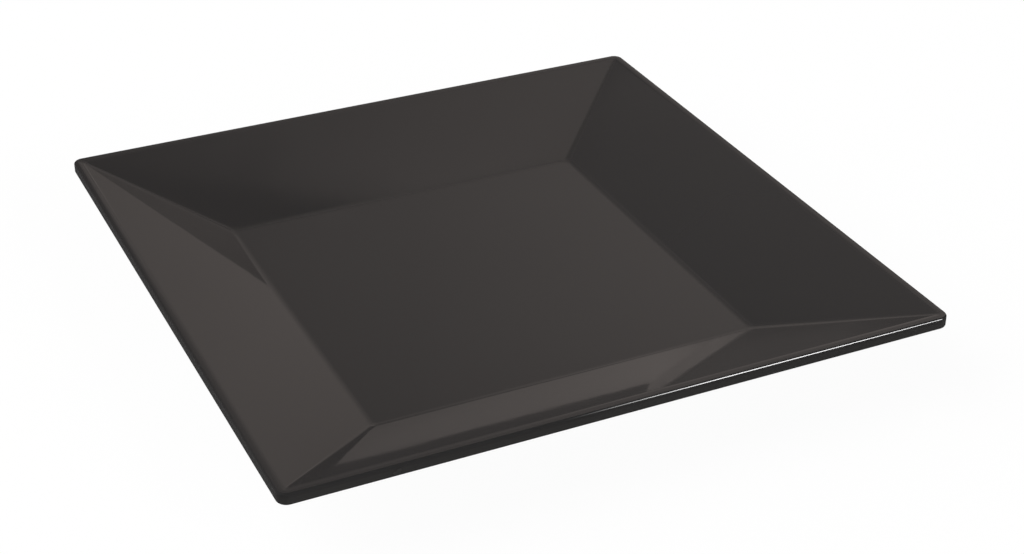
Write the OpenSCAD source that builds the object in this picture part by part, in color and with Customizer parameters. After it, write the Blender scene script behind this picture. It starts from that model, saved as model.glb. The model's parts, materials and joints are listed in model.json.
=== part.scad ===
// Square dinner plate, press-moulded: a flat square well, four flat rim panels that meet in
// softly filleted mitres, an upright lip with a narrow land, and a low square foot ring.
// Millimetres. The origin is at the middle of the underside, on the table, with +Z up and the
// sides along X and Y.
//
// The plate is one moulding with a glaze layer pressed over its food side. Both are lofts of
// rounded squares: a section, drawn from the middle of the plate outwards as distance from the
// axis and height, is given a plan radius at each of its points and carried round the square.

/* [Plate] */
// Width of the plate over the lip, the same both ways
plate_w = 260; // [220:1:320]
// Height from the table to the top of the lip
plate_h = 26.5; // [22:0.5:36]
// Plan radius of the four outer corners
corner_r = 4; // [3.5:0.5:16]
// Thickness of the sloping rim panels
wall_t = 3.4; // [2.6:0.1:3.8]

/* [Lip] */
// Height of the upright lip at the outer edge
lip_h = 4.9; // [4.2:0.1:6]
// Width of the flat land on top of the lip
lip_land = 2.8; // [2:0.1:3.4]
// Rounding of the lip's upper and lower outer edges
lip_edge_r = 1; // [0.6:0.1:1.3]
// Rounding where the land breaks into the rim panel
lip_break_r = 6.5; // [2:0.5:9]
// Rounding behind the lip, where its base meets the underside of the panel
lip_root_r = 3; // [0.5:0.5:5]

/* [Well] */
// Width of the flat well, measured between the creases
well_w = 156; // [120:1:180]
// Thickness of the well's floor
floor_t = 3.7; // [2.8:0.1:5]
// Plan radius of the well's corners, where the mitres end
well_corner_r = 2.5; // [1.5:0.5:20]
// Fillet between the well's floor and the rim panels
crease_r = 8; // [3:0.5:14]

/* [Foot ring] */
// Height of the foot ring
foot_h = 2; // [1.2:0.1:3.5]
// Width of the foot ring's wall
foot_t = 4; // [3:0.5:6]
// Distance from the well's crease in to the foot ring's outer side
foot_inset = 4.5; // [3.5:0.5:10]
// Plan radius of the foot ring's outer corners
foot_corner_r = 12; // [8:0.5:24]
// Rounding of the edges that the foot ring stands on
foot_edge_r = 0.7; // [0.3:0.1:1.2]
// Fillet at the root of the foot ring
foot_root_r = 1; // [0.4:0.1:1.6]

/* [Glaze] */
// Thickness of the glaze layer over the food side
glaze_t = 0.4; // [0.25:0.05:0.5]
// How far the glaze comes down the lip, to the mould's parting line
glaze_wrap = 1.8; // [1.4:0.1:2.4]

/* [Hidden] */

// Steps round each plan corner and along each fillet of the section
corner_steps = 8;
fillet_steps = 4;
// A fillet takes at most this share of the straight on either side of it
fillet_share = 0.49;

half = plate_w / 2;
crown_half = half - lip_land;
well_half = well_w / 2;
foot_half = well_half - foot_inset;
foot_inner_half = foot_half - foot_t;
floor_z = foot_h + floor_t;
lip_base_z = plate_h - lip_h;
parting_z = plate_h - glaze_wrap;

// Plan radius against distance from the axis, on the food side and on the underside
face_radii = [[well_half, well_corner_r], [crown_half, corner_r - lip_land], [half, corner_r]];
under_radii = concat([[foot_inner_half, foot_corner_r - foot_t], [foot_half, foot_corner_r]], face_radii);

function unit(v) = v / norm(v);
function turned(v, angle) = [v.x * cos(angle) - v.y * sin(angle), v.x * sin(angle) + v.y * cos(angle)];

// The arc that rounds corner b of the path a, b, c with radius r
function rounded_corner(a, b, c, r) =
    let (
        to_a = unit(a - b),
        to_c = unit(c - b),
        opening = acos(to_a * to_c),
        reach = min(r / tan(opening / 2), fillet_share * norm(a - b), fillet_share * norm(c - b)),
        radius = reach * tan(opening / 2),
        centre = b + unit(to_a + to_c) * radius / sin(opening / 2),
        start = b + to_a * reach - centre,
        finish = b + to_c * reach - centre,
        sweep = sign(cross(start, finish)) * (180 - opening)
    )
    [for (i = [0 : fillet_steps]) centre + turned(start, sweep * i / fillet_steps)];

// A path with its inner corners rounded: radii holds one radius for each of them
function rounded_path(path, radii) = [
    path[0],
    for (i = [1 : len(path) - 2]) each rounded_corner(path[i - 1], path[i], path[i + 1], radii[i - 1]),
    path[len(path) - 1]
];

// A path moved sideways by distance, to its right as it runs
function offset_path(path, distance) = [
    for (i = [0 : len(path) - 1])
        let (
            before = unit(i > 0 ? path[i] - path[i - 1] : path[1] - path[0]),
            after = i < len(path) - 1 ? unit(path[i + 1] - path[i]) : before,
            across_before = [before.y, -before.x],
            across_after = [after.y, -after.x]
        )
        path[i] + distance * (across_before + across_after) / (1 + across_before * across_after)
];

// The food side from the floor's edge out over the crease, the panel and the lip to the
// parting line
face_path = [[foot_inner_half, floor_z], [well_half, floor_z], [crown_half, plate_h], [half, plate_h],
    [half, parting_z]];

// The face's section, set back into the moulding by depth: hollows widen, ridges tighten
function face_section(depth) =
    rounded_path(offset_path(face_path, depth), [crease_r + depth, lip_break_r - depth, lip_edge_r - depth]);

// Slope of the rim panels and the line of their underside, parallel to the face
panel_run = crown_half - well_half;
panel_rise = plate_h - floor_z;
panel_slope = panel_rise / panel_run;
panel_drop = wall_t * norm([panel_run, panel_rise]) / panel_run;
function under_panel_at(z) = [well_half + (z + panel_drop - floor_z) / panel_slope, z];

// The underside from the middle of the recess out over the foot ring and the panel to the lip
under_path = [[foot_inner_half - foot_t, foot_h], [foot_inner_half, foot_h], [foot_inner_half, 0],
    [foot_half, 0], [foot_half, foot_h], under_panel_at(foot_h), under_panel_at(lip_base_z),
    [half, lip_base_z], [half, parting_z]];
under_section = rounded_path(under_path, [foot_root_r, foot_edge_r, foot_edge_r, foot_root_r,
    crease_r + wall_t, lip_root_r, lip_edge_r]);

// Section points as rings: distance from the axis, plan radius, height
function rings(section, radii) = [for (p = section) [p.x, lookup(p.x, radii), p.y]];
function reversed(list) = [for (i = [len(list) - 1 : -1 : 0]) list[i]];

function ring_points(ring) = [
    for (quarter = [0 : 3], i = [0 : corner_steps])
        let (
            angle = 90 * (quarter + i / corner_steps),
            side_x = quarter == 0 || quarter == 3 ? 1 : -1,
            side_y = quarter < 2 ? 1 : -1,
            straight = ring[0] - ring[1]
        )
        [side_x * straight + ring[1] * cos(angle), side_y * straight + ring[1] * sin(angle), ring[2]]
];

// A closed solid through rings that run from a flat lower cap, outwards and over to a flat
// upper cap
module square_loft(loft_rings) {
    count = 4 * (corner_steps + 1);
    last = len(loft_rings) - 1;
    walls = [
        for (r = [0 : last - 1], i = [0 : count - 1])
            let (next = (i + 1) % count)
            [r * count + i, (r + 1) * count + i, (r + 1) * count + next, r * count + next]
    ];
    lower_cap = [for (i = [0 : count - 1]) i];
    upper_cap = [for (i = [count - 1 : -1 : 0]) last * count + i];
    polyhedron(
        points = [for (ring = loft_rings) each ring_points(ring)],
        faces = concat([lower_cap], walls, [upper_cap]),
        convexity = 6
    );
}

// The moulding: well floor, rim panels, lip and foot ring in one piece
module plate_body() {
    color("#262524")
        square_loft(concat(
            rings(under_section, under_radii),
            rings(reversed(face_section(glaze_t)), face_radii)
        ));
}

// The glaze layer: a thin shell over the whole food side that ends at the parting line
module face_glaze() {
    color("#2e2c2b")
        square_loft(concat(
            rings(face_section(glaze_t), face_radii),
            rings(reversed(face_section(0)), face_radii)
        ));
}

plate_body();
face_glaze();
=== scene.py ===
"""Square dinner plate in pressed black melamine: two surfaces, their finishes and the studio.

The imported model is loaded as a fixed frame. The plate's moulding and the glaze over its food
side are then worked out again as fine surfaces of the same sizes, from one section that is
carried round a rounded square, and stand for the two solids of the frame. All lengths are
metres, with the table at zero height and the plate's middle on the vertical axis.
"""

import json
import math

import bpy
import numpy as np
from mathutils import Euler, Matrix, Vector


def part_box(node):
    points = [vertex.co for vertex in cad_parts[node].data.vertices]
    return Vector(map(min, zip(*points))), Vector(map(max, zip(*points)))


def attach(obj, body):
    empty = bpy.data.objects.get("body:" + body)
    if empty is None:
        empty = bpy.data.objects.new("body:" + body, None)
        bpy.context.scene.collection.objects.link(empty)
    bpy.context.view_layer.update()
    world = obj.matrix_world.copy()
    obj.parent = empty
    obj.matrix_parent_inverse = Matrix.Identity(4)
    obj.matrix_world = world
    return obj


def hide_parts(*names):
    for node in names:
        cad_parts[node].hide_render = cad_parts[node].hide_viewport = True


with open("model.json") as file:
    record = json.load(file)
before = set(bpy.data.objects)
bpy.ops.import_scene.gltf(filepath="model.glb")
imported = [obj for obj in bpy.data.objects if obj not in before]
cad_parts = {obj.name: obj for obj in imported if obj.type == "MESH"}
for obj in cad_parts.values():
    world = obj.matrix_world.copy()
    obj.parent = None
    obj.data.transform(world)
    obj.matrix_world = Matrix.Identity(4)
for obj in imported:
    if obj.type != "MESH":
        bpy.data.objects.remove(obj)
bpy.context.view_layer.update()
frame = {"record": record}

bl_info = {
    "name": "Square Dinner Plate",
    "version": (1, 0, 0),
    "blender": (4, 5, 0),
    "location": "View3D > Sidebar > Plate",
    "description": "Builds a pressed melamine dinner plate and a studio to look at it in",
    "category": "Add Mesh",
}

MM = 0.001
PANEL_TAB = "Plate"
BODY = "root"

# What the frame itself says of the plate's sizes
BODY_LOW, BODY_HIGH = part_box("plate_body")
GLAZE_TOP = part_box("face_glaze")[1].z
MOUNTS = {mount["name"]: mount for mount in frame["record"]["mounts"]}
PLATE_WIDTH = BODY_HIGH.x - BODY_LOW.x
PLATE_HEIGHT = GLAZE_TOP
GLAZE_THICKNESS = GLAZE_TOP - BODY_HIGH.z
WELL_FLOOR = MOUNTS["well_floor"]["pos_m"][2]

# Facets round each plan corner and along each fillet of the section
CORNER_STEPS = 24
FILLET_STEPS = 10
# A fillet takes at most this share of the straight run on either side of it
FILLET_SHARE = 0.49
# The sharp edges at the parting line lie this near to its height and to the lip's outer side
SAME_HEIGHT = 0.01 * MM
SAME_SIDE = 1.0 * MM
# The highest weight of the weighted normals, at which the largest faces decide
LARGE_FACES = 100


def linear(hex_value):
    """Scene-linear red, green, blue and alpha of an sRGB hex value such as 1f1d1c."""
    parts = np.array([int(hex_value[i : i + 2], 16) for i in (0, 2, 4)]) / 255
    straight = np.where(parts <= 0.04045, parts / 12.92, ((parts + 0.055) / 1.055) ** 2.4)
    return (*straight.tolist(), 1.0)


def colour(name, hex_value, description):
    """A colour property from an sRGB hex value."""
    return bpy.props.FloatVectorProperty(
        name=name, description=description, default=linear(hex_value),
        size=4, min=0.0, max=1.0, subtype="COLOR",
    )


def size(name, default_mm, description):
    """A length property, shown in the file's own unit and given here in millimetres."""
    return bpy.props.FloatProperty(
        name=name, description=description, default=default_mm * MM,
        min=0.0, unit="LENGTH", precision=5,
    )


class PlateShape(bpy.types.PropertyGroup):
    """Sizes of the plate that the frame's own boxes and mounts don't give."""

    well_width: size("Well width", 156, "Flat well between its creases")
    well_corner: size("Well corner radius", 2.5, "Plan radius where the mitres end at the well")
    crease: size("Crease fillet", 8, "Fillet between the well's floor and the rim panels")
    wall: size("Panel thickness", 3.4, "Thickness of the rim panels")
    corner: size("Corner radius", 4, "Plan radius of the plate's outer corners")
    lip_height: size("Lip height", 4.9, "Height of the upright lip")
    lip_land: size("Lip land", 2.8, "Width of the flat land on top of the lip")
    lip_edge: size("Lip edge rounding", 1, "Rounding of the lip's outer edges")
    lip_break: size("Lip break rounding", 6.5, "Rounding where the land breaks into the panel")
    lip_root: size("Lip root rounding", 3, "Rounding behind the lip, under the panel")
    glaze_wrap: size("Glaze wrap", 1.8, "How far the glaze comes down the lip")
    foot_height: size("Foot height", 2, "Height of the foot ring")
    foot_wall: size("Foot wall", 4, "Width of the foot ring's wall")
    foot_inset: size("Foot inset", 4.5, "From the well's crease in to the foot ring")
    foot_corner: size("Foot corner radius", 12, "Plan radius of the foot ring's outer corners")
    foot_edge: size("Foot edge rounding", 0.7, "Rounding of the edges that the foot stands on")
    foot_root: size("Foot root fillet", 1, "Fillet at the root of the foot ring")


class PlateFinish(bpy.types.PropertyGroup):
    """Colours of the plate's two layers."""

    glaze_dark: colour("Glaze", "282727", "The glaze's main colour")
    glaze_light: colour("Glaze, lighter", "2a2929", "The glaze where its pigment lies thinner")
    moulding_dark: colour("Moulding", "2a2929", "The bare moulding's main colour")
    moulding_light: colour("Moulding, lighter", "2e2d2c", "The bare moulding where it is rubbed")


class PlateStudio(bpy.types.PropertyGroup):
    """Where the camera stands, how it looks, and the studio's colours."""

    camera_place: bpy.props.FloatVectorProperty(
        name="Camera place", description="Where the lens stands",
        default=(-0.2782, -0.6124, 0.3995), size=3, unit="LENGTH", subtype="XYZ",
    )
    camera_azimuth: bpy.props.FloatProperty(
        name="Azimuth", description="Where the lens points, from +Y towards +X",
        default=math.radians(25.47), subtype="ANGLE",
    )
    camera_fall: bpy.props.FloatProperty(
        name="Fall", description="How far the lens points below the horizon",
        default=math.radians(30.32), subtype="ANGLE",
    )
    camera_roll: bpy.props.FloatProperty(
        name="Roll", description="Turn about the lens's own axis",
        default=math.radians(0.275), subtype="ANGLE",
    )
    camera_lens: bpy.props.FloatProperty(
        name="Lens", description="Focal length in millimetres, on the camera's own frame",
        default=68.66, min=1.0,
    )
    wall: colour("Wall", "fbede6", "Colour of the light from the wall behind the tent")
    paper: colour("Paper", "f3f3f2", "Colour of the paper that the plate stands on")


def rounded_path(corners, radii):
    """Points of a path of straight runs whose inner corners are rounded, as distance and height.

    At a corner where the path turns by t, the arc of radius r starts r tan(t/2) before it. Its
    heading then grows evenly from that of the run before to that of the run after, and the arc's
    points are the sum of the steps taken along that heading.
    """
    corners = np.asarray(corners)
    runs = np.diff(corners, axis=0)
    lengths = np.hypot(*runs.T)
    heading = np.arctan2(runs[:, 1], runs[:, 0])
    turn = (np.diff(heading) + np.pi) % (2 * np.pi) - np.pi
    half_tangent = np.tan(abs(turn) / 2)
    room = FILLET_SHARE * np.minimum(lengths[:-1], lengths[1:])
    reach = np.minimum(radii * half_tangent, room)
    radius = np.sign(turn) * reach / half_tangent
    start = corners[1:-1] - (reach / lengths[:-1])[:, None] * runs[:-1]
    before = heading[:-1, None]
    along = before + turn[:, None] * np.linspace(0, 1, FILLET_STEPS + 1)
    arcs = np.stack([np.sin(along) - np.sin(before), np.cos(before) - np.cos(along)], axis=-1)
    arcs = start[:, None] + radius[:, None, None] * arcs
    return np.concatenate([corners[:1], arcs.reshape(-1, 2), corners[-1:]])


def set_back(corners, depth):
    """A path moved to its right by depth.

    With the normals m and n of the runs before and after it, a corner moves by
    depth (m + n) / (1 + m.n), which keeps both runs at that depth.
    """
    corners = np.asarray(corners)
    runs = np.diff(corners, axis=0)
    normals = np.stack([runs[:, 1], -runs[:, 0]], axis=-1) / np.hypot(*runs.T)[:, None]
    before = np.concatenate([normals[:1], normals])
    after = np.concatenate([normals, normals[-1:]])
    return corners + depth * (before + after) / (1 + (before * after).sum(axis=1, keepdims=True))


class Section:
    """The plate's section, from the middle of the well out to the lip, in metres."""

    def __init__(self, shape):
        self.half = PLATE_WIDTH / 2
        self.crown = self.half - shape.lip_land
        self.well = shape.well_width / 2
        self.foot = self.well - shape.foot_inset
        self.foot_inner = self.foot - shape.foot_wall
        self.parting = PLATE_HEIGHT - shape.glaze_wrap
        self.shape = shape

    def face(self, depth):
        """The food side from the floor to the parting line, set back by depth.

        Hollows widen by that depth and ridges tighten.
        """
        shape = self.shape
        path = [
            (self.foot_inner, WELL_FLOOR),
            (self.well, WELL_FLOOR),
            (self.crown, PLATE_HEIGHT),
            (self.half, PLATE_HEIGHT),
            (self.half, self.parting),
        ]
        radii = np.array([shape.crease + depth, shape.lip_break - depth, shape.lip_edge - depth])
        return rounded_path(set_back(path, depth), radii)

    def underside(self):
        """The recess, the foot ring, the panel's underside and the lip up to the parting line.

        The panel's underside runs parallel to its face.
        """
        shape = self.shape
        run, rise = self.crown - self.well, PLATE_HEIGHT - WELL_FLOOR
        drop = shape.wall * math.hypot(run, rise) / run
        lip_base = PLATE_HEIGHT - shape.lip_height

        def under_panel(height):
            return self.well + (height + drop - WELL_FLOOR) * run / rise, height

        path = [
            (self.foot_inner - shape.foot_wall, shape.foot_height),
            (self.foot_inner, shape.foot_height),
            (self.foot_inner, 0.0),
            (self.foot, 0.0),
            (self.foot, shape.foot_height),
            under_panel(shape.foot_height),
            under_panel(lip_base),
            (self.half, lip_base),
            (self.half, self.parting),
        ]
        radii = np.array([
            shape.foot_root, shape.foot_edge, shape.foot_edge, shape.foot_root,
            shape.crease + shape.wall, shape.lip_root, shape.lip_edge,
        ])
        return rounded_path(path, radii)

    def face_corners(self, section):
        """Plan radius at each point of the face, changing evenly from well to crown to side."""
        shape = self.shape
        stops = [self.well, self.crown, self.half]
        radii = [shape.well_corner, shape.corner - shape.lip_land, shape.corner]
        return np.interp(section[:, 0], stops, radii)

    def under_corners(self, section):
        """Plan radius at each point below: the foot ring's inside it, the face's beyond."""
        shape = self.shape
        stops = [self.foot_inner, self.foot, self.well, self.crown, self.half]
        radii = [
            shape.foot_corner - shape.foot_wall, shape.foot_corner,
            shape.well_corner, shape.corner - shape.lip_land, shape.corner,
        ]
        return np.interp(section[:, 0], stops, radii)


def round_square(sections):
    """Carries sections that follow one another round a rounded square.

    A section point at distance d and height z, with plan radius r, becomes a ring of four
    quarter circles of radius r about the points (+-(d - r), +-(d - r)), joined by straights.
    Returns the points, ring after ring, and how many there are in a ring.
    """
    section = np.concatenate([points for points, _ in sections])
    radius = np.concatenate([radii for _, radii in sections])[:, None]
    quarter = np.repeat(np.arange(4), CORNER_STEPS + 1)
    angle = (quarter + np.tile(np.linspace(0, 1, CORNER_STEPS + 1), 4)) * math.pi / 2
    side_x = np.where((quarter == 0) | (quarter == 3), 1.0, -1.0)
    side_y = np.where(quarter < 2, 1.0, -1.0)
    straight = section[:, :1] - radius
    x = side_x * straight + radius * np.cos(angle)
    y = side_y * straight + radius * np.sin(angle)
    z = np.broadcast_to(section[:, 1:], x.shape)
    return np.stack([x, y, z], axis=-1).reshape(-1, 3), len(angle)


def loft(name, sections):
    """A closed surface through the rings of round_square.

    Each two rings are joined by a wall of quads that face outwards, and the first and the last
    ring are closed by a flat cap.
    """
    points, count = round_square(sections)
    last = len(points) - count
    ring = np.arange(count)
    after = np.roll(ring, -1)
    wall = np.stack([ring, ring + count, after + count, after], axis=-1)
    walls = (np.arange(0, last, count)[:, None, None] + wall).reshape(-1, 4)
    faces = [ring.tolist(), *walls.tolist(), (last + ring[::-1]).tolist()]
    mesh = bpy.data.meshes.new(name)
    mesh.from_pydata(points.tolist(), [], faces)
    mesh.validate()
    mesh.shade_smooth()
    piece = bpy.data.objects.new(name, mesh)
    bpy.context.scene.collection.objects.link(piece)
    return piece


def crease_at(piece, distance, height):
    """Marks as sharp a piece's edges at one height that reach one distance from the middle."""
    mesh = piece.data
    points = np.empty(len(mesh.vertices) * 3)
    mesh.vertices.foreach_get("co", points)
    points = points.reshape(-1, 3)
    ends = np.empty(len(mesh.edges) * 2, dtype=np.int32)
    mesh.edges.foreach_get("vertices", ends)
    ends = ends.reshape(-1, 2)
    level = abs(points[:, 2] - height) < SAME_HEIGHT
    reach = abs(points[:, :2]).max(axis=1)
    near = level[ends].all(axis=1) & (reach[ends].max(axis=1) > distance - SAME_SIDE)
    sharp = mesh.attributes.get("sharp_edge")
    sharp = sharp or mesh.attributes.new("sharp_edge", "BOOLEAN", "EDGE")
    sharp.data.foreach_set("value", near)


def even_shading(piece):
    """Flat faces keep their own normals, and only the fillets between them turn the light."""
    weighted = piece.modifiers.new("even_shading", "WEIGHTED_NORMAL")
    weighted.keep_sharp = True
    weighted.weight = LARGE_FACES


def add_node(tree, kind, settings=None, links=None):
    """Adds a node.

    settings sets its properties, or its inputs by name. links feeds its inputs by name from
    sockets of other nodes.
    """
    node = tree.nodes.new(kind)
    for name, value in (settings or {}).items():
        if name in node.inputs:
            node.inputs[name].default_value = value
        else:
            setattr(node, name, value)
    for name, socket in (links or {}).items():
        tree.links.new(socket, node.inputs[name])
    return node


def new_material(name):
    """An empty node material and its node tree."""
    material = bpy.data.materials.new(name)
    material.use_nodes = True
    material.node_tree.nodes.clear()
    return material, material.node_tree


# How melamine resin bends light
MELAMINE_IOR = 1.5
# Nearly all values of a noise lie between these two
NOISE_LOW, NOISE_HIGH = 0.3, 0.7
# A Mix node's two colours and its result, which share their names with sockets of other kinds
MIX_FIRST, MIX_SECOND, MIX_RESULT = 6, 7, 2


def per_metre(pitch_mm):
    """Noise scale on Object coordinates at which a pattern repeats about every pitch_mm."""
    return 1 / (pitch_mm * MM)


def melamine(name, tints, clouds, patches, roughness, relief, height_mm):
    """A finish of melamine from three noises, each given as its pitch in millimetres and detail.

    clouds mix the two tints, patches spread the roughness between its two values, and relief
    raises the surface by up to height_mm.
    """
    material, tree = new_material(name)
    place = add_node(tree, "ShaderNodeTexCoord").outputs["Object"]
    cloud, patch, rise = [
        add_node(
            tree, "ShaderNodeTexNoise",
            {"Scale": per_metre(pitch_mm), "Detail": detail}, {"Vector": place},
        ).outputs["Fac"]
        for pitch_mm, detail in (clouds, patches, relief)
    ]
    tint = add_node(
        tree, "ShaderNodeMix", {"data_type": "RGBA", "clamp_factor": True}, {"Factor": cloud}
    )
    tint.inputs[MIX_FIRST].default_value = tints[0]
    tint.inputs[MIX_SECOND].default_value = tints[1]
    gloss = add_node(
        tree, "ShaderNodeMapRange",
        {
            "From Min": NOISE_LOW, "From Max": NOISE_HIGH,
            "To Min": roughness[0], "To Max": roughness[1],
        },
        {"Value": patch},
    )
    bump = add_node(
        tree, "ShaderNodeBump", {"Strength": 1.0, "Distance": height_mm * MM}, {"Height": rise}
    )
    shader = add_node(
        tree, "ShaderNodeBsdfPrincipled", {"IOR": MELAMINE_IOR},
        {
            "Base Color": tint.outputs[MIX_RESULT],
            "Roughness": gloss.outputs["Result"],
            "Normal": bump.outputs["Normal"],
        },
    )
    add_node(tree, "ShaderNodeOutputMaterial", links={"Surface": shader.outputs["BSDF"]})
    return material


def glazed_melamine(finish):
    """Melamine glaze, pressed on in the mould and polished by it.

    It gives a deep even black with a hard, clear gloss. Its pigment lies a little unevenly, in
    clouds about as wide as a hand. The mould's polish varies in patches, so the gloss is a touch
    softer here and there. The pressed face is never dead flat, so the reflections of straight
    edges run slightly wavy.
    """
    return melamine(
        "glazed_melamine",
        tints=(finish.glaze_dark, finish.glaze_light),
        clouds=(70, 3.0),
        patches=(22, 4.0),
        roughness=(0.02, 0.04),
        relief=(16, 2.0),
        height_mm=0.012,
    )


def moulded_melamine(finish):
    """Melamine as it leaves the mould's plain half.

    It is black with a satin face, a little lighter in patches where it has been rubbed. The mould
    is blasted, which leaves a fine grain, drawn at its real pitch.
    """
    return melamine(
        "moulded_melamine",
        tints=(finish.moulding_dark, finish.moulding_light),
        clouds=(45, 5.0),
        patches=(12, 4.0),
        roughness=(0.2, 0.28),
        relief=(0.5, 2.0),
        height_mm=0.004,
    )


class PLATE_OT_moulding(bpy.types.Operator):
    """Make the plate's moulding: well floor, rim panels, lip and foot ring"""

    bl_idname = "plate.moulding"
    bl_label = "Moulding"

    def execute(self, context):
        scene = context.scene
        section = Section(scene.plate_shape)
        under, inner = section.underside(), section.face(GLAZE_THICKNESS)[::-1]
        moulding = loft("moulding", [
            (under, section.under_corners(under)),
            (inner, section.face_corners(inner)),
        ])
        crease_at(moulding, section.half, section.parting)
        even_shading(moulding)
        moulding.data.materials.append(moulded_melamine(scene.plate_finish))
        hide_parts("plate_body")
        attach(moulding, BODY)
        return {"FINISHED"}


class PLATE_OT_glaze(bpy.types.Operator):
    """Make the glaze layer over the food side"""

    bl_idname = "plate.glaze"
    bl_label = "Face glaze"

    def execute(self, context):
        scene = context.scene
        section = Section(scene.plate_shape)
        inner, outer = section.face(GLAZE_THICKNESS), section.face(0.0)[::-1]
        glaze = loft("glaze", [
            (inner, section.face_corners(inner)),
            (outer, section.face_corners(outer)),
        ])
        crease_at(glaze, section.half, section.parting)
        even_shading(glaze)
        glaze.data.materials.append(glazed_melamine(scene.plate_finish))
        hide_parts("face_glaze")
        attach(glaze, BODY)
        return {"FINISHED"}


# The studio's surfaces stand far off, so that all of the plate sees each in the same direction.
# Directions are given as azimuth, from +Y towards +X, and elevation, in degrees. Radii are
# metres, and steps are facets upwards and across.

# A large soft window behind the plate's left gives the light. The glaze doesn't mirror it, as no
# edge or corner of the plate in the photograph shows such a window.
WINDOW_RADIUS = 11.0
WINDOW_STEPS = (12, 16)
WINDOW_LEFT, WINDOW_RIGHT = -90, -10
WINDOW_LOW, WINDOW_TOP = 8, 56
WINDOW_GLOW = 5.05

# A strip lamp in front and to the right draws the bright line on the front lip. The line starts
# where a direction's share of +X passes its edge, and comes up to full over the soft edge.
LAMP_RADIUS = 11.0
LAMP_STEPS = (8, 16)
LAMP_EDGE, LAMP_SOFT, LAMP_RIGHT = 0.373, 0.087, 143
LAMP_LOW, LAMP_TOP = 8, 36
LAMP_GLOW = 28.0

# A tent of grey cloth round it all fills the shadows. It is open at the back, on a dim wall.
TENT_RADIUS = 12.0
TENT_STEPS = (320, 360)
TENT_LOW, TENT_TOP = -8, 90
FILL_GLOW = 0.10
# Azimuths between which the opening runs, how high it goes, and its soft edges
OPENING = {"low": -45, "high": 64, "top": 74, "soft": 6, "soft_top": 3}
# The wall's glow by azimuth, and what is left of it at each elevation
WALL_AZIMUTHS = (-45, -6, 5, 10, 16, 22, 34, 40, 46, 51, 57, 64)
WALL_GLOW = (0.10, 0.10, 0.28, 0.24, 0.23, 0.28, 0.47, 0.48, 0.46, 0.56, 0.65, 0.70)
WALL_ELEVATIONS, WALL_SHARE = (0, 13, 28, 90), (0.82, 0.84, 1.0, 1.0)
# Patches of the wall that are brighter or darker: their azimuths and softness, the height of
# their middle at each end and half their height, their softness upwards, and the share of glow
# that they add
PATCHES = (
    ((15, 27.3), 2.0, (8.3, 8.3), 0.95, 0.8, 0.8),
    ((12.3, 18.9), 1.0, (23.5, 27.3), 0.9, 0.8, 0.7),
    ((22.3, 27), 1.5, (12.2, 13.4), 1.3, 1.0, 0.95),
    ((17, 24.5), 2.5, (20.5, 22), 2.5, 1.6, 0.5),
    ((-40, 12.5), 5.0, (18, 30), 9.0, 2.0, -0.65),
    ((12, 23.5), 3.0, (3.3, 3.3), 3.8, 0.8, -0.5),
    ((12, 20), 3.0, (11.9, 11.9), 2.4, 0.8, -0.5),
    ((31, 43), 3.0, (26, 26.5), 2.6, 2.0, -0.3),
    ((34.5, 41.5), 3.0, (37.5, 38.5), 5.0, 3.0, -0.35),
    ((25, 37.5), 6.0, (66, 66), 6.0, 4.0, -0.35),
    ((37, 44), 3.0, (68.6, 67.5), 1.4, 1.2, -0.23),
)
# A dark flag hangs from the opening's top. It ends at its right azimuth, its lower edge has a
# height at each azimuth and a softness, and it shades the wall by a share over a reach below.
FLAG_AZIMUTHS, FLAG_EDGE = (32, 39, 47.5, 51, 60), (69.5, 69.0, 67.8, 67.1, 65.5)
FLAG_RIGHT, FLAG_SOFT, FLAG_GLOW = 56, 0.4, 0.18
FLAG_SHADE, FLAG_REACH = 0.2, 1.5

# The paper: how far it reaches and its corners, the share of plain white in what the camera and
# see-through things find there, over the matt paper with the plate's shadow, and how bright a
# gloss finds it, which is little, as the plate's lip shows no white from below
PAPER_RADIUS = 2.3
PAPER_CORNERS = 96
PAPER_WHITE = 0.96
PAPER_IN_GLOSS = 0.07

# The camera's frame in millimetres, and how near and far it sees in metres
FRAME_WIDTH = 36.0
NEAREST, FARTHEST = 0.01, 40.0


def toward(azimuth, elevation):
    """Unit vector to an azimuth from +Y towards +X and an elevation above the horizon."""
    a, e = np.radians(azimuth), np.radians(elevation)
    return np.stack([np.sin(a) * np.cos(e), np.cos(a) * np.cos(e), np.sin(e)], axis=-1)


def ease(value):
    """Smooth step from 0 to 1, flat at both ends: 3 v squared less 2 v cubed."""
    value = np.clip(value, 0, 1)
    return value * value * (3 - 2 * value)


def within(value, low, high, soft):
    """1 between low and high and 0 outside, with eased edges that are soft wide."""
    return ease((value - low) / soft + 0.5) * ease((high - value) / soft + 0.5)


def opening(azimuth, elevation, low, high, top, soft, soft_top):
    """1 inside an opening of the tent and 0 outside it."""
    middle = (low + high) / 2
    off = (azimuth - middle + 180) % 360 - 180
    return within(off, low - middle, high - middle, soft) * ease((top - elevation) / soft_top + 0.5)


def wall_glow(azimuth, elevation):
    """Glow of the wall behind the tent.

    It is the wall's level by azimuth times its share by elevation and by each patch, less the
    flag's shade, and the flag's own glow where the flag hangs.
    """
    azimuth = (azimuth + 180) % 360 - 180
    glow = np.interp(azimuth, WALL_AZIMUTHS, WALL_GLOW)
    glow = glow * np.interp(elevation, WALL_ELEVATIONS, WALL_SHARE)
    above = elevation - np.interp(azimuth, FLAG_AZIMUTHS, FLAG_EDGE)
    left = azimuth < FLAG_RIGHT
    glow = glow * (1 - left * FLAG_SHADE * ease(above / FLAG_REACH + 1))
    flag = left * ease(above / FLAG_SOFT + 0.5)
    for across, soft, heights, half, soft_up, share in PATCHES:
        off = elevation - np.interp(azimuth, across, heights)
        patch = within(azimuth, *across, soft) * within(off, -half, half, soft_up)
        glow = glow * (1 + share * patch)
    return glow * (1 - flag) + FLAG_GLOW * flag


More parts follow.
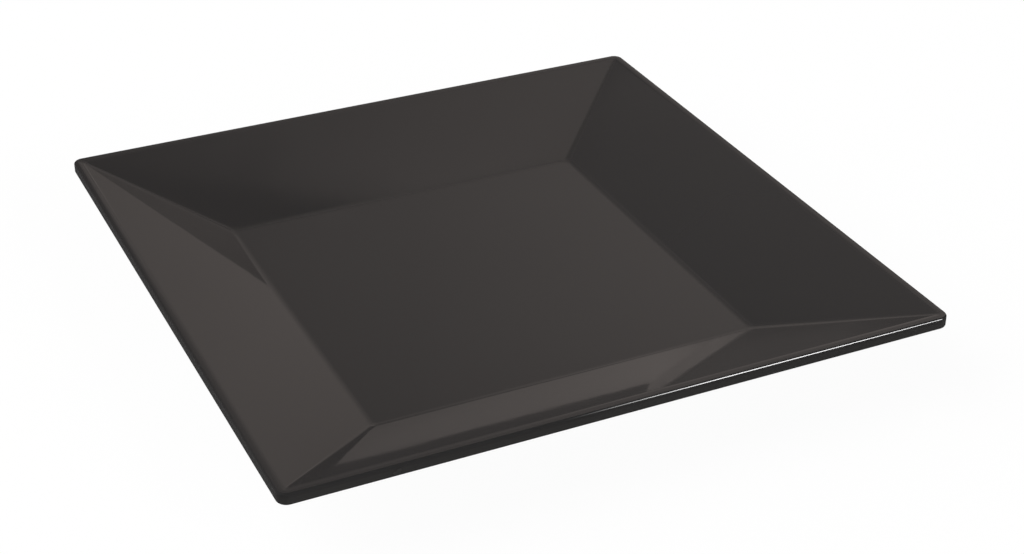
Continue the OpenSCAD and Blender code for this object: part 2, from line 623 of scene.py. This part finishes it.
def tent_glow(azimuth, elevation, wall):
    """Red, green and blue of the tent's glow in arrays of directions."""
    back = opening(azimuth, elevation, **OPENING)
    fill = FILL_GLOW * (1 - back)
    dim = back * wall_glow(azimuth, elevation)
    return fill[..., None] + dim[..., None] * np.array(wall[:3])


def dome(name, radius, azimuth, elevation, closed):
    """A patch of a sphere about the plate, on a grid of azimuth and elevation.

    Its faces look inwards. closed joins its last column to its first.
    """
    rows, columns = azimuth.shape
    column = np.arange(columns if closed else columns - 1)
    after = (column + 1) % columns
    cell = np.stack([column, column + columns, after + columns, after], axis=-1)
    faces = (np.arange(rows - 1)[:, None, None] * columns + cell).reshape(-1, 4)
    points = (radius * toward(azimuth, elevation)).reshape(-1, 3)
    mesh = bpy.data.meshes.new(name)
    mesh.from_pydata(points.tolist(), [], faces.tolist())
    patch = bpy.data.objects.new(name, mesh)
    bpy.context.scene.collection.objects.link(patch)
    patch.visible_camera = False
    patch.visible_shadow = False
    return patch


def glowing(mesh, name, glow):
    """Gives a dome its light: red, green and blue for each of its points."""
    reading = mesh.attributes.new("glow", "FLOAT_COLOR", "POINT")
    opaque = np.ones((*glow.shape[:2], 1))
    reading.data.foreach_set("color", np.append(glow, opaque, axis=-1).ravel())
    material, tree = new_material(name)
    level = add_node(tree, "ShaderNodeAttribute", {"attribute_name": "glow"})
    shader = add_node(
        tree, "ShaderNodeEmission", {"Strength": 1.0}, {"Color": level.outputs["Color"]}
    )
    add_node(tree, "ShaderNodeOutputMaterial", links={"Surface": shader.outputs["Emission"]})
    mesh.materials.append(material)
    return material


def grid(low, top, steps):
    """Elevations up a patch and shares of its width, for each of its points."""
    rows, columns = steps
    up, across = np.linspace(low, top, rows + 1), np.linspace(0, 1, columns + 1)
    return np.meshgrid(up, across, indexing="ij")


def make_window():
    """The window: a plain range of azimuth and elevation."""
    elevation, across = grid(WINDOW_LOW, WINDOW_TOP, WINDOW_STEPS)
    azimuth = WINDOW_LEFT + (WINDOW_RIGHT - WINDOW_LEFT) * across
    window = dome("window", WINDOW_RADIUS, azimuth, elevation, closed=False)
    window.visible_glossy = False
    glowing(window.data, "window_light", np.full((*azimuth.shape, 3), WINDOW_GLOW))


def make_lamp():
    """The strip lamp: its left edge is where sin(azimuth) cos(elevation) equals LAMP_EDGE."""
    elevation, across = grid(LAMP_LOW, LAMP_TOP, LAMP_STEPS)
    left = 180 - np.degrees(np.arcsin(LAMP_EDGE / np.cos(np.radians(elevation))))
    azimuth = left + (LAMP_RIGHT - left) * across
    share = toward(azimuth, elevation)[..., :1]
    glow = LAMP_GLOW * ease((share - LAMP_EDGE) / LAMP_SOFT) * np.ones(3)
    lamp = dome("lamp", LAMP_RADIUS, azimuth, elevation, closed=False)
    glowing(lamp.data, "lamp_light", glow)


def make_tent(studio):
    """The tent: a dome whose glow is worked out for each of its points."""
    rows, columns = TENT_STEPS
    up = np.linspace(TENT_LOW, TENT_TOP, rows + 1)
    around = np.linspace(0, 360, columns, endpoint=False)
    elevation, azimuth = np.meshgrid(up, around, indexing="ij")
    tent = dome("tent", TENT_RADIUS, azimuth, elevation, closed=True)
    material = glowing(tent.data, "tent_cloth", tent_glow(azimuth, elevation, studio.wall))
    material.cycles.emission_sampling = "NONE"


def ray_level(tree, camera, transmission, glossy):
    """A level that depends on the kind of ray: the sum of each kind's own level."""
    path = add_node(tree, "ShaderNodeLightPath")
    kinds = {"Is Camera Ray": camera, "Is Transmission Ray": transmission, "Is Glossy Ray": glossy}
    level = None
    for ray, share in kinds.items():
        step = add_node(tree, "ShaderNodeMath", {"operation": "MULTIPLY_ADD"})
        tree.links.new(path.outputs[ray], step.inputs[0])
        step.inputs[1].default_value = share
        step.inputs[2].default_value = 0.0
        if level is not None:
            tree.links.new(level, step.inputs[2])
        level = step.outputs["Value"]
    return level


def white_paper(studio):
    """Matt studio paper.

    It takes the plate's soft shadow, and the camera sees it as white. From below it isn't there,
    so that the plate's underside can be looked at.
    """
    material, tree = new_material("white_paper")
    matt = add_node(tree, "ShaderNodeBsdfDiffuse", {"Color": studio.paper})
    seen = ray_level(tree, 1.0, 1.0, PAPER_IN_GLOSS)
    white = add_node(tree, "ShaderNodeEmission", links={"Strength": seen})
    clear = add_node(tree, "ShaderNodeBsdfTransparent")
    side = add_node(tree, "ShaderNodeNewGeometry")
    share = ray_level(tree, PAPER_WHITE, PAPER_WHITE, 1.0)
    face = add_node(tree, "ShaderNodeMixShader", links={"Fac": share})
    tree.links.new(matt.outputs["BSDF"], face.inputs[1])
    tree.links.new(white.outputs["Emission"], face.inputs[2])
    sheet = add_node(tree, "ShaderNodeMixShader", links={"Fac": side.outputs["Backfacing"]})
    tree.links.new(face.outputs["Shader"], sheet.inputs[1])
    tree.links.new(clear.outputs["BSDF"], sheet.inputs[2])
    add_node(tree, "ShaderNodeOutputMaterial", links={"Surface": sheet.outputs["Shader"]})
    return material


def make_paper(studio):
    """The paper: one flat round sheet at the table's height."""
    around = np.linspace(0, 2 * np.pi, PAPER_CORNERS, endpoint=False)
    rim = PAPER_RADIUS * np.stack([np.cos(around), np.sin(around), 0 * around], axis=-1)
    mesh = bpy.data.meshes.new("paper")
    mesh.from_pydata(rim.tolist(), [], [list(range(PAPER_CORNERS))])
    mesh.materials.append(white_paper(studio))
    paper = bpy.data.objects.new("paper", mesh)
    bpy.context.scene.collection.objects.link(paper)


def make_world(scene):
    """A world that is white to the camera, to gloss and through glass, and gives no other light."""
    world = bpy.data.worlds.new("studio")
    scene.world = world
    world.use_nodes = True
    tree = world.node_tree
    tree.nodes.clear()
    seen = ray_level(tree, 1.0, 1.0, 1.0)
    white = add_node(tree, "ShaderNodeBackground", links={"Strength": seen})
    add_node(tree, "ShaderNodeOutputWorld", links={"Surface": white.outputs["Background"]})


def make_camera(scene, studio):
    """The camera: turned by its azimuth, let down by its fall, and rolled about its own axis."""
    lens = bpy.data.cameras.new("camera")
    lens.lens = studio.camera_lens
    lens.sensor_width = FRAME_WIDTH
    lens.clip_start, lens.clip_end = NEAREST, FARTHEST
    camera = bpy.data.objects.new("camera", lens)
    tilt = math.pi / 2 - studio.camera_fall
    aim = Euler((tilt, 0.0, -studio.camera_azimuth)).to_matrix().to_4x4()
    roll = Matrix.Rotation(studio.camera_roll, 4, "Z")
    camera.matrix_world = Matrix.Translation(studio.camera_place) @ aim @ roll
    scene.collection.objects.link(camera)
    scene.camera = camera


class PLATE_OT_stage(bpy.types.Operator):
    """Make the studio: paper, window, lamp, tent, world and camera"""

    bl_idname = "plate.stage"
    bl_label = "Studio"

    def execute(self, context):
        scene = context.scene
        studio = scene.plate_studio
        make_paper(studio)
        make_window()
        make_lamp()
        make_tent(studio)
        make_world(scene)
        make_camera(scene, studio)
        scene.view_settings.view_transform = "Standard"
        return {"FINISHED"}


class PLATE_PT_panel(bpy.types.Panel):
    """Lists the operators that build the plate"""

    bl_idname = "PLATE_PT_panel"
    bl_label = "Square Dinner Plate"
    bl_space_type = "VIEW_3D"
    bl_region_type = "UI"
    bl_category = PANEL_TAB

    def draw(self, context):
        for operator in OPERATORS:
            self.layout.operator(operator.bl_idname)


GROUPS = {"plate_shape": PlateShape, "plate_finish": PlateFinish, "plate_studio": PlateStudio}
OPERATORS = (PLATE_OT_moulding, PLATE_OT_glaze, PLATE_OT_stage)


def register():
    for name, group in GROUPS.items():
        bpy.utils.register_class(group)
        setattr(bpy.types.Scene, name, bpy.props.PointerProperty(type=group))
    for item in (*OPERATORS, PLATE_PT_panel):
        bpy.utils.register_class(item)


def unregister():
    for item in (PLATE_PT_panel, *reversed(OPERATORS)):
        bpy.utils.unregister_class(item)
    for name, group in reversed(GROUPS.items()):
        delattr(bpy.types.Scene, name)
        bpy.utils.unregister_class(group)


def main():
    register()
    bpy.ops.plate.moulding()
    bpy.ops.plate.glaze()
    bpy.ops.plate.stage()


if __name__ == "__main__":
    main()
